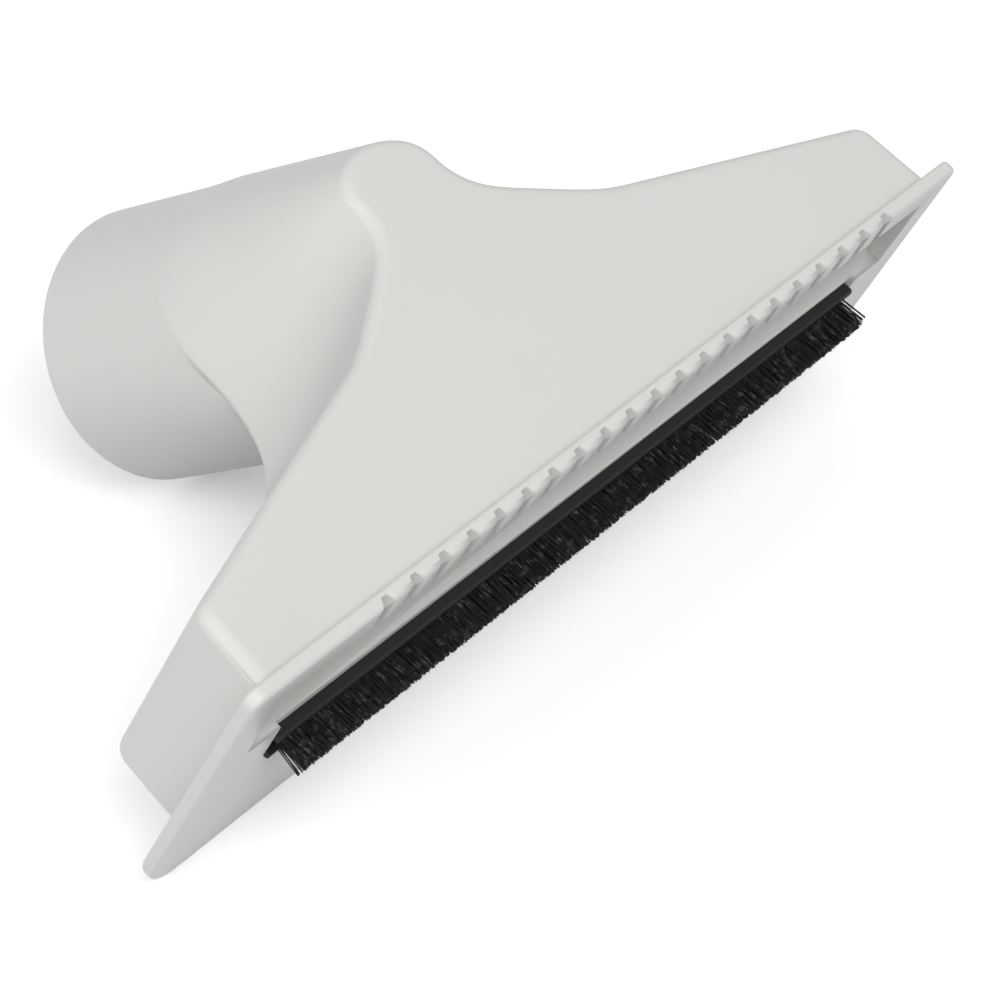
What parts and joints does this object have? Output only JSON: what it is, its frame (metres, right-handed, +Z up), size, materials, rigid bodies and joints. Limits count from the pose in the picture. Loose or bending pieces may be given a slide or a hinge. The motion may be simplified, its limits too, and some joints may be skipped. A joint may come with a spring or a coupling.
{
  "type": "vacuum upholstery nozzle",
  "caption": "Wide hollow nozzle with an inclined round hose socket, a flanged mouth with a toothed lip, and a strip brush behind the suction slot.",
  "frame": {"origin": "middle of the bounding box on the plane that the nozzle lies on", "axes": "+X along the mouth, +Y from the mouth towards the hose socket, +Z up as the nozzle lies on its back, on the rim's back edge and the socket's end"},
  "size_m": [0.142, 0.0904, 0.0592],
  "materials": {
    "body_plastic": "satin moulded",
    "backing_plastic": "satin",
    "bristle_fibre": "dull fibre"
  },
  "bodies": {
    "root": {"nozzle_body": "body_plastic", "brush_backing": "backing_plastic", "brush_bristles": "bristle_fibre"}
  },
  "joints": []
}
